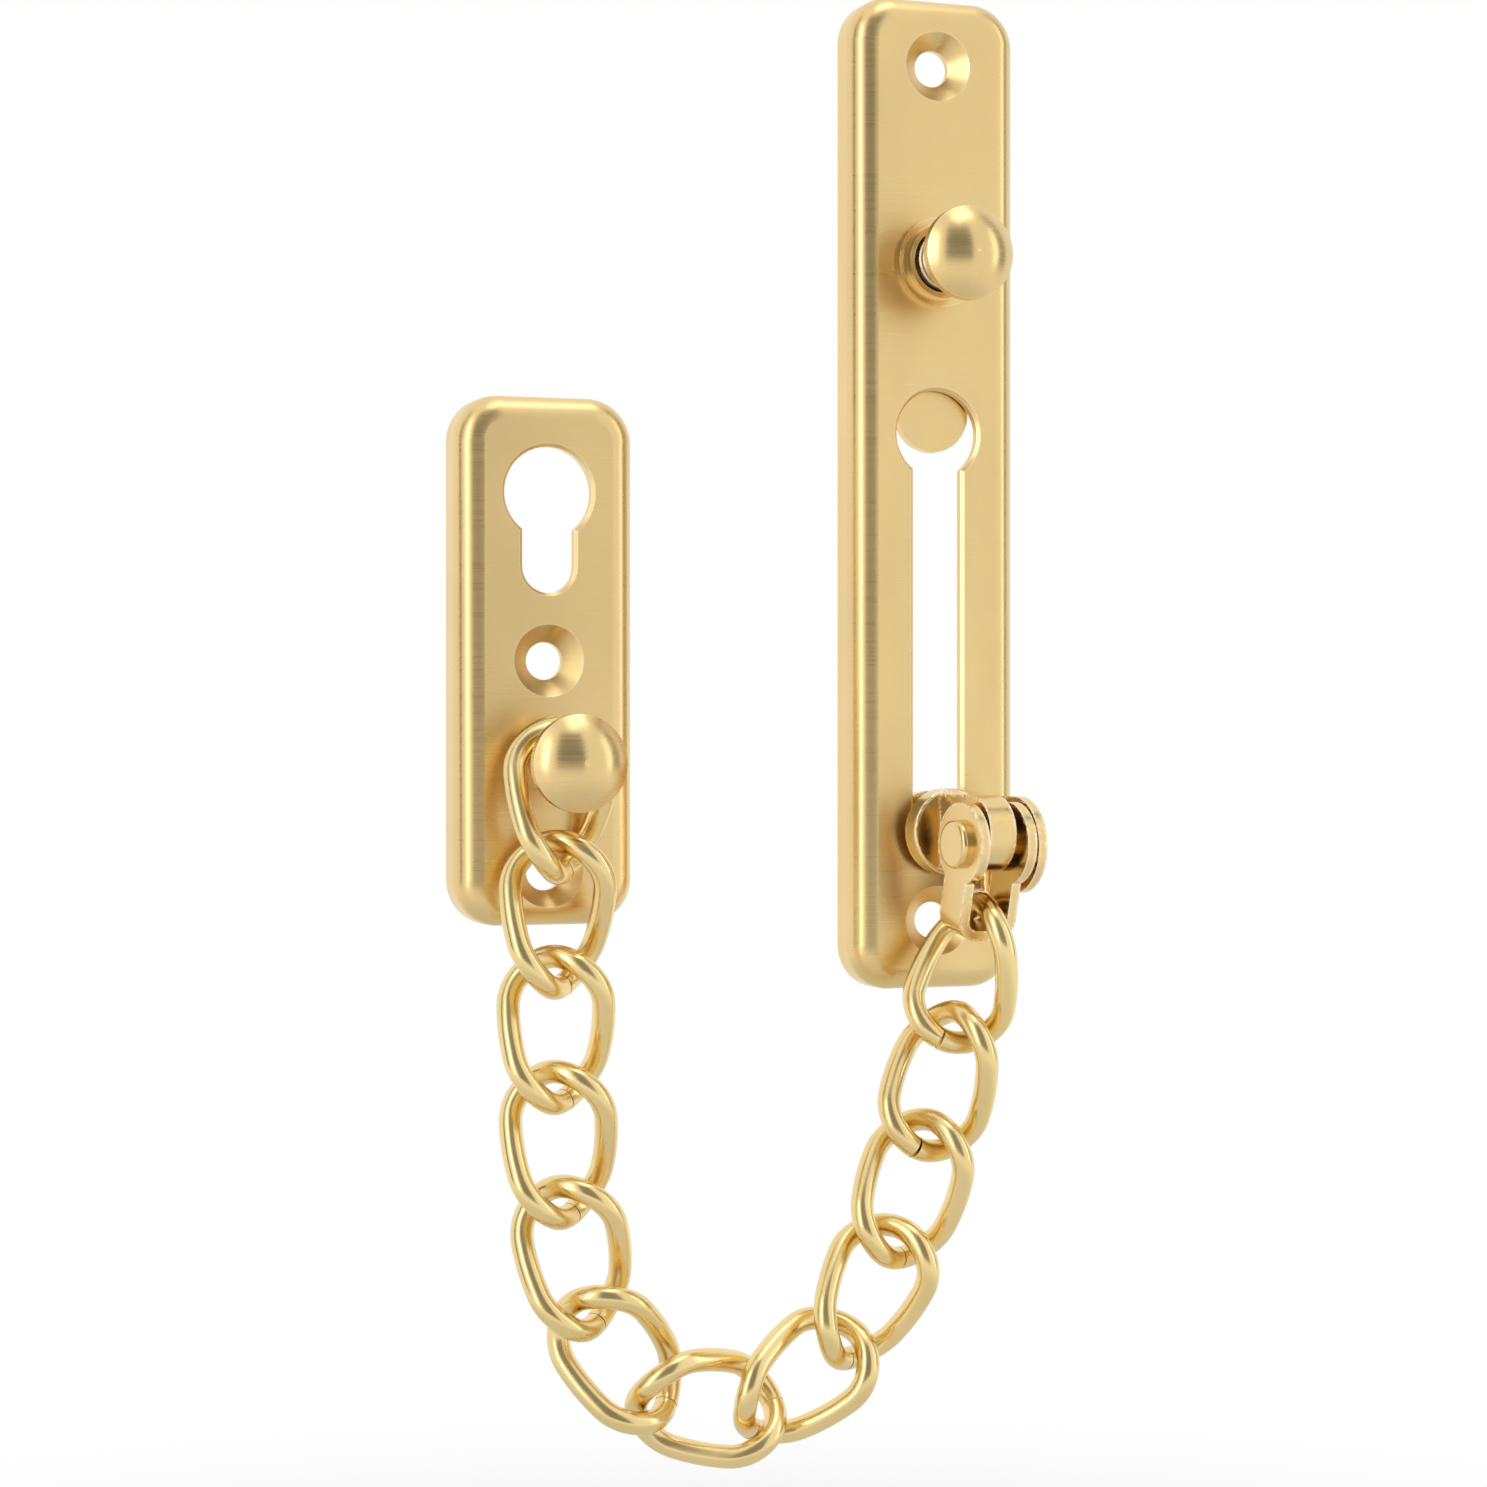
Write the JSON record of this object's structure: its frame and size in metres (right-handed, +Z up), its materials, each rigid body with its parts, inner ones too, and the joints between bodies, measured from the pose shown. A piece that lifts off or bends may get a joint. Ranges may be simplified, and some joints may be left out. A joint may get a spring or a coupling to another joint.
{
  "type": "door chain",
  "caption": "Surface-mounted door chain: a track plate with a keyhole slot, slider and push-button latch, and a short plate with a stud, joined by a slack chain of twisted links.",
  "frame": {"origin": "midway between the slide plate's two screw holes, at the back end of their lands", "axes": "+Y into the wall, +Z up along the slide plate, +X to the right seen from the front"},
  "size_m": [0.0708, 0.0222, 0.174],
  "materials": {
    "satin_gold": "satin brushed",
    "turned_gold": "fine turned",
    "chain_gold": "polished",
    "spring_steel": "drawn wire"
  },
  "bodies": {
    "plates": {"slide_plate": "satin_gold", "anchor_plate": "satin_gold", "anchor_stud": "turned_gold", "button_bushing": "turned_gold"},
    "button": {"release_button": "turned_gold", "latch_tongue": "satin_gold", "button_spring": "spring_steel"},
    "slider": {"slider": "satin_gold"},
    "fork": {"fork": "satin_gold", "fork_rivet": "turned_gold"},
    "link_12": {"link_12": "chain_gold"},
    "link_11": {"link_11": "chain_gold"},
    "link_10": {"link_10": "chain_gold"},
    "link_9": {"link_9": "chain_gold"},
    "link_8": {"link_8": "chain_gold"},
    "link_7": {"link_7": "chain_gold"},
    "link_6": {"link_6": "chain_gold"},
    "link_5": {"link_5": "chain_gold"},
    "link_4": {"link_4": "chain_gold"},
    "link_3": {"link_3": "chain_gold"},
    "link_2": {"link_2": "chain_gold"},
    "link_1": {"link_1": "chain_gold"}
  },
  "joints": [
    {"name": "slider_slide", "type": "slide", "parent": "plates", "child": "slider", "axis": [0, 0, 1], "range_m": [0, 0.04]},
    {"name": "fork_swing", "type": "hinge", "parent": "slider", "child": "fork", "pos_m": [0.00145, -0.01401, -0.04205], "axis": [0.9925, 0.1219, 0], "range_deg": [-2, 2]},
    {"name": "button_press", "type": "slide", "parent": "plates", "child": "button", "axis": [0, 1, 0], "range_m": [0, 0.0022], "stiffness_N_per_m": 600, "springref_m": -0.002, "deforming": ["button_spring"]},
    {"name": "link_12_swing", "type": "hinge", "parent": "fork", "child": "link_12", "pos_m": [0.00118, -0.01184, -0.05081], "axis": [0.9925, 0.1219, 0], "range_deg": [-2.5, 2.5]},
    {"name": "link_11_bend", "type": "hinge", "parent": "link_12", "child": "link_11", "pos_m": [-0.0018, -0.01162, -0.06361], "axis": [-0.0741, -0.9973, 0], "range_deg": [-1, 2]},
    {"name": "link_10_bend", "type": "hinge", "parent": "link_11", "child": "link_10", "pos_m": [-0.00507, -0.01138, -0.07635], "axis": [-0.0741, -0.9973, 0], "range_deg": [-1, 7]},
    {"name": "link_9_bend", "type": "hinge", "parent": "link_10", "child": "link_9", "pos_m": [-0.00904, -0.01108, -0.08888], "axis": [-0.0741, -0.9973, 0], "range_deg": [-1, 29]},
    {"name": "link_8_bend", "type": "hinge", "parent": "link_9", "child": "link_8", "pos_m": [-0.0151, -0.01063, -0.10054], "axis": [-0.0741, -0.9973, 0], "range_deg": [-1, 9]},
    {"name": "link_7_bend", "type": "hinge", "parent": "link_8", "child": "link_7", "pos_m": [-0.0258, -0.00984, -0.10813], "axis": [-0.0741, -0.9973, 0], "range_deg": [-1, 2]},
    {"name": "link_6_bend", "type": "hinge", "parent": "link_7", "child": "link_6", "pos_m": [-0.03872, -0.00888, -0.10588], "axis": [-0.0741, -0.9973, 0], "range_deg": [-1, 7]},
    {"name": "link_1_bend", "type": "hinge", "parent": "plates", "child": "link_1", "pos_m": [-0.0492, -0.0081, -0.02987], "axis": [-0.0741, -0.9973, 0], "range_deg": [-1, 4]},
    {"name": "link_2_bend", "type": "hinge", "parent": "link_1", "child": "link_2", "pos_m": [-0.04968, -0.00806, -0.04302], "axis": [-0.0741, -0.9973, 0], "range_deg": [-26, 1]},
    {"name": "link_3_bend", "type": "hinge", "parent": "link_2", "child": "link_3", "pos_m": [-0.04999, -0.00804, -0.05616], "axis": [-0.0741, -0.9973, 0], "range_deg": [-1, 20]},
    {"name": "link_4_bend", "type": "hinge", "parent": "link_3", "child": "link_4", "pos_m": [-0.04995, -0.00805, -0.06931], "axis": [-0.0741, -0.9973, 0], "range_deg": [-1, 38]},
    {"name": "link_5_bend", "type": "hinge", "parent": "link_4", "child": "link_5", "pos_m": [-0.04923, -0.0081, -0.08244], "axis": [-0.0741, -0.9973, 0], "range_deg": [-1, 33]}
  ],
  "couplings": [
    {"joint": "link_12_swing", "follows": "fork_swing", "ratio": -1},
    {"joint": "link_11_bend", "follows": "slider_slide", "rad_per_m": 0.0297},
    {"joint": "link_10_bend", "follows": "slider_slide", "rad_per_m": 2.2329},
    {"joint": "link_9_bend", "follows": "slider_slide", "rad_per_m": 11.932},
    {"joint": "link_8_bend", "follows": "slider_slide", "rad_per_m": 3.0697},
    {"joint": "link_7_bend", "follows": "slider_slide", "rad_per_m": 0.1886},
    {"joint": "link_6_bend", "follows": "slider_slide", "rad_per_m": 2.2499},
    {"joint": "link_1_bend", "follows": "slider_slide", "rad_per_m": 1.0795},
    {"joint": "link_2_bend", "follows": "slider_slide", "rad_per_m": -10.727},
    {"joint": "link_3_bend", "follows": "slider_slide", "rad_per_m": 8.1588},
    {"joint": "link_4_bend", "follows": "slider_slide", "rad_per_m": 15.991},
    {"joint": "link_5_bend", "follows": "slider_slide", "rad_per_m": 13.597}
  ]
}
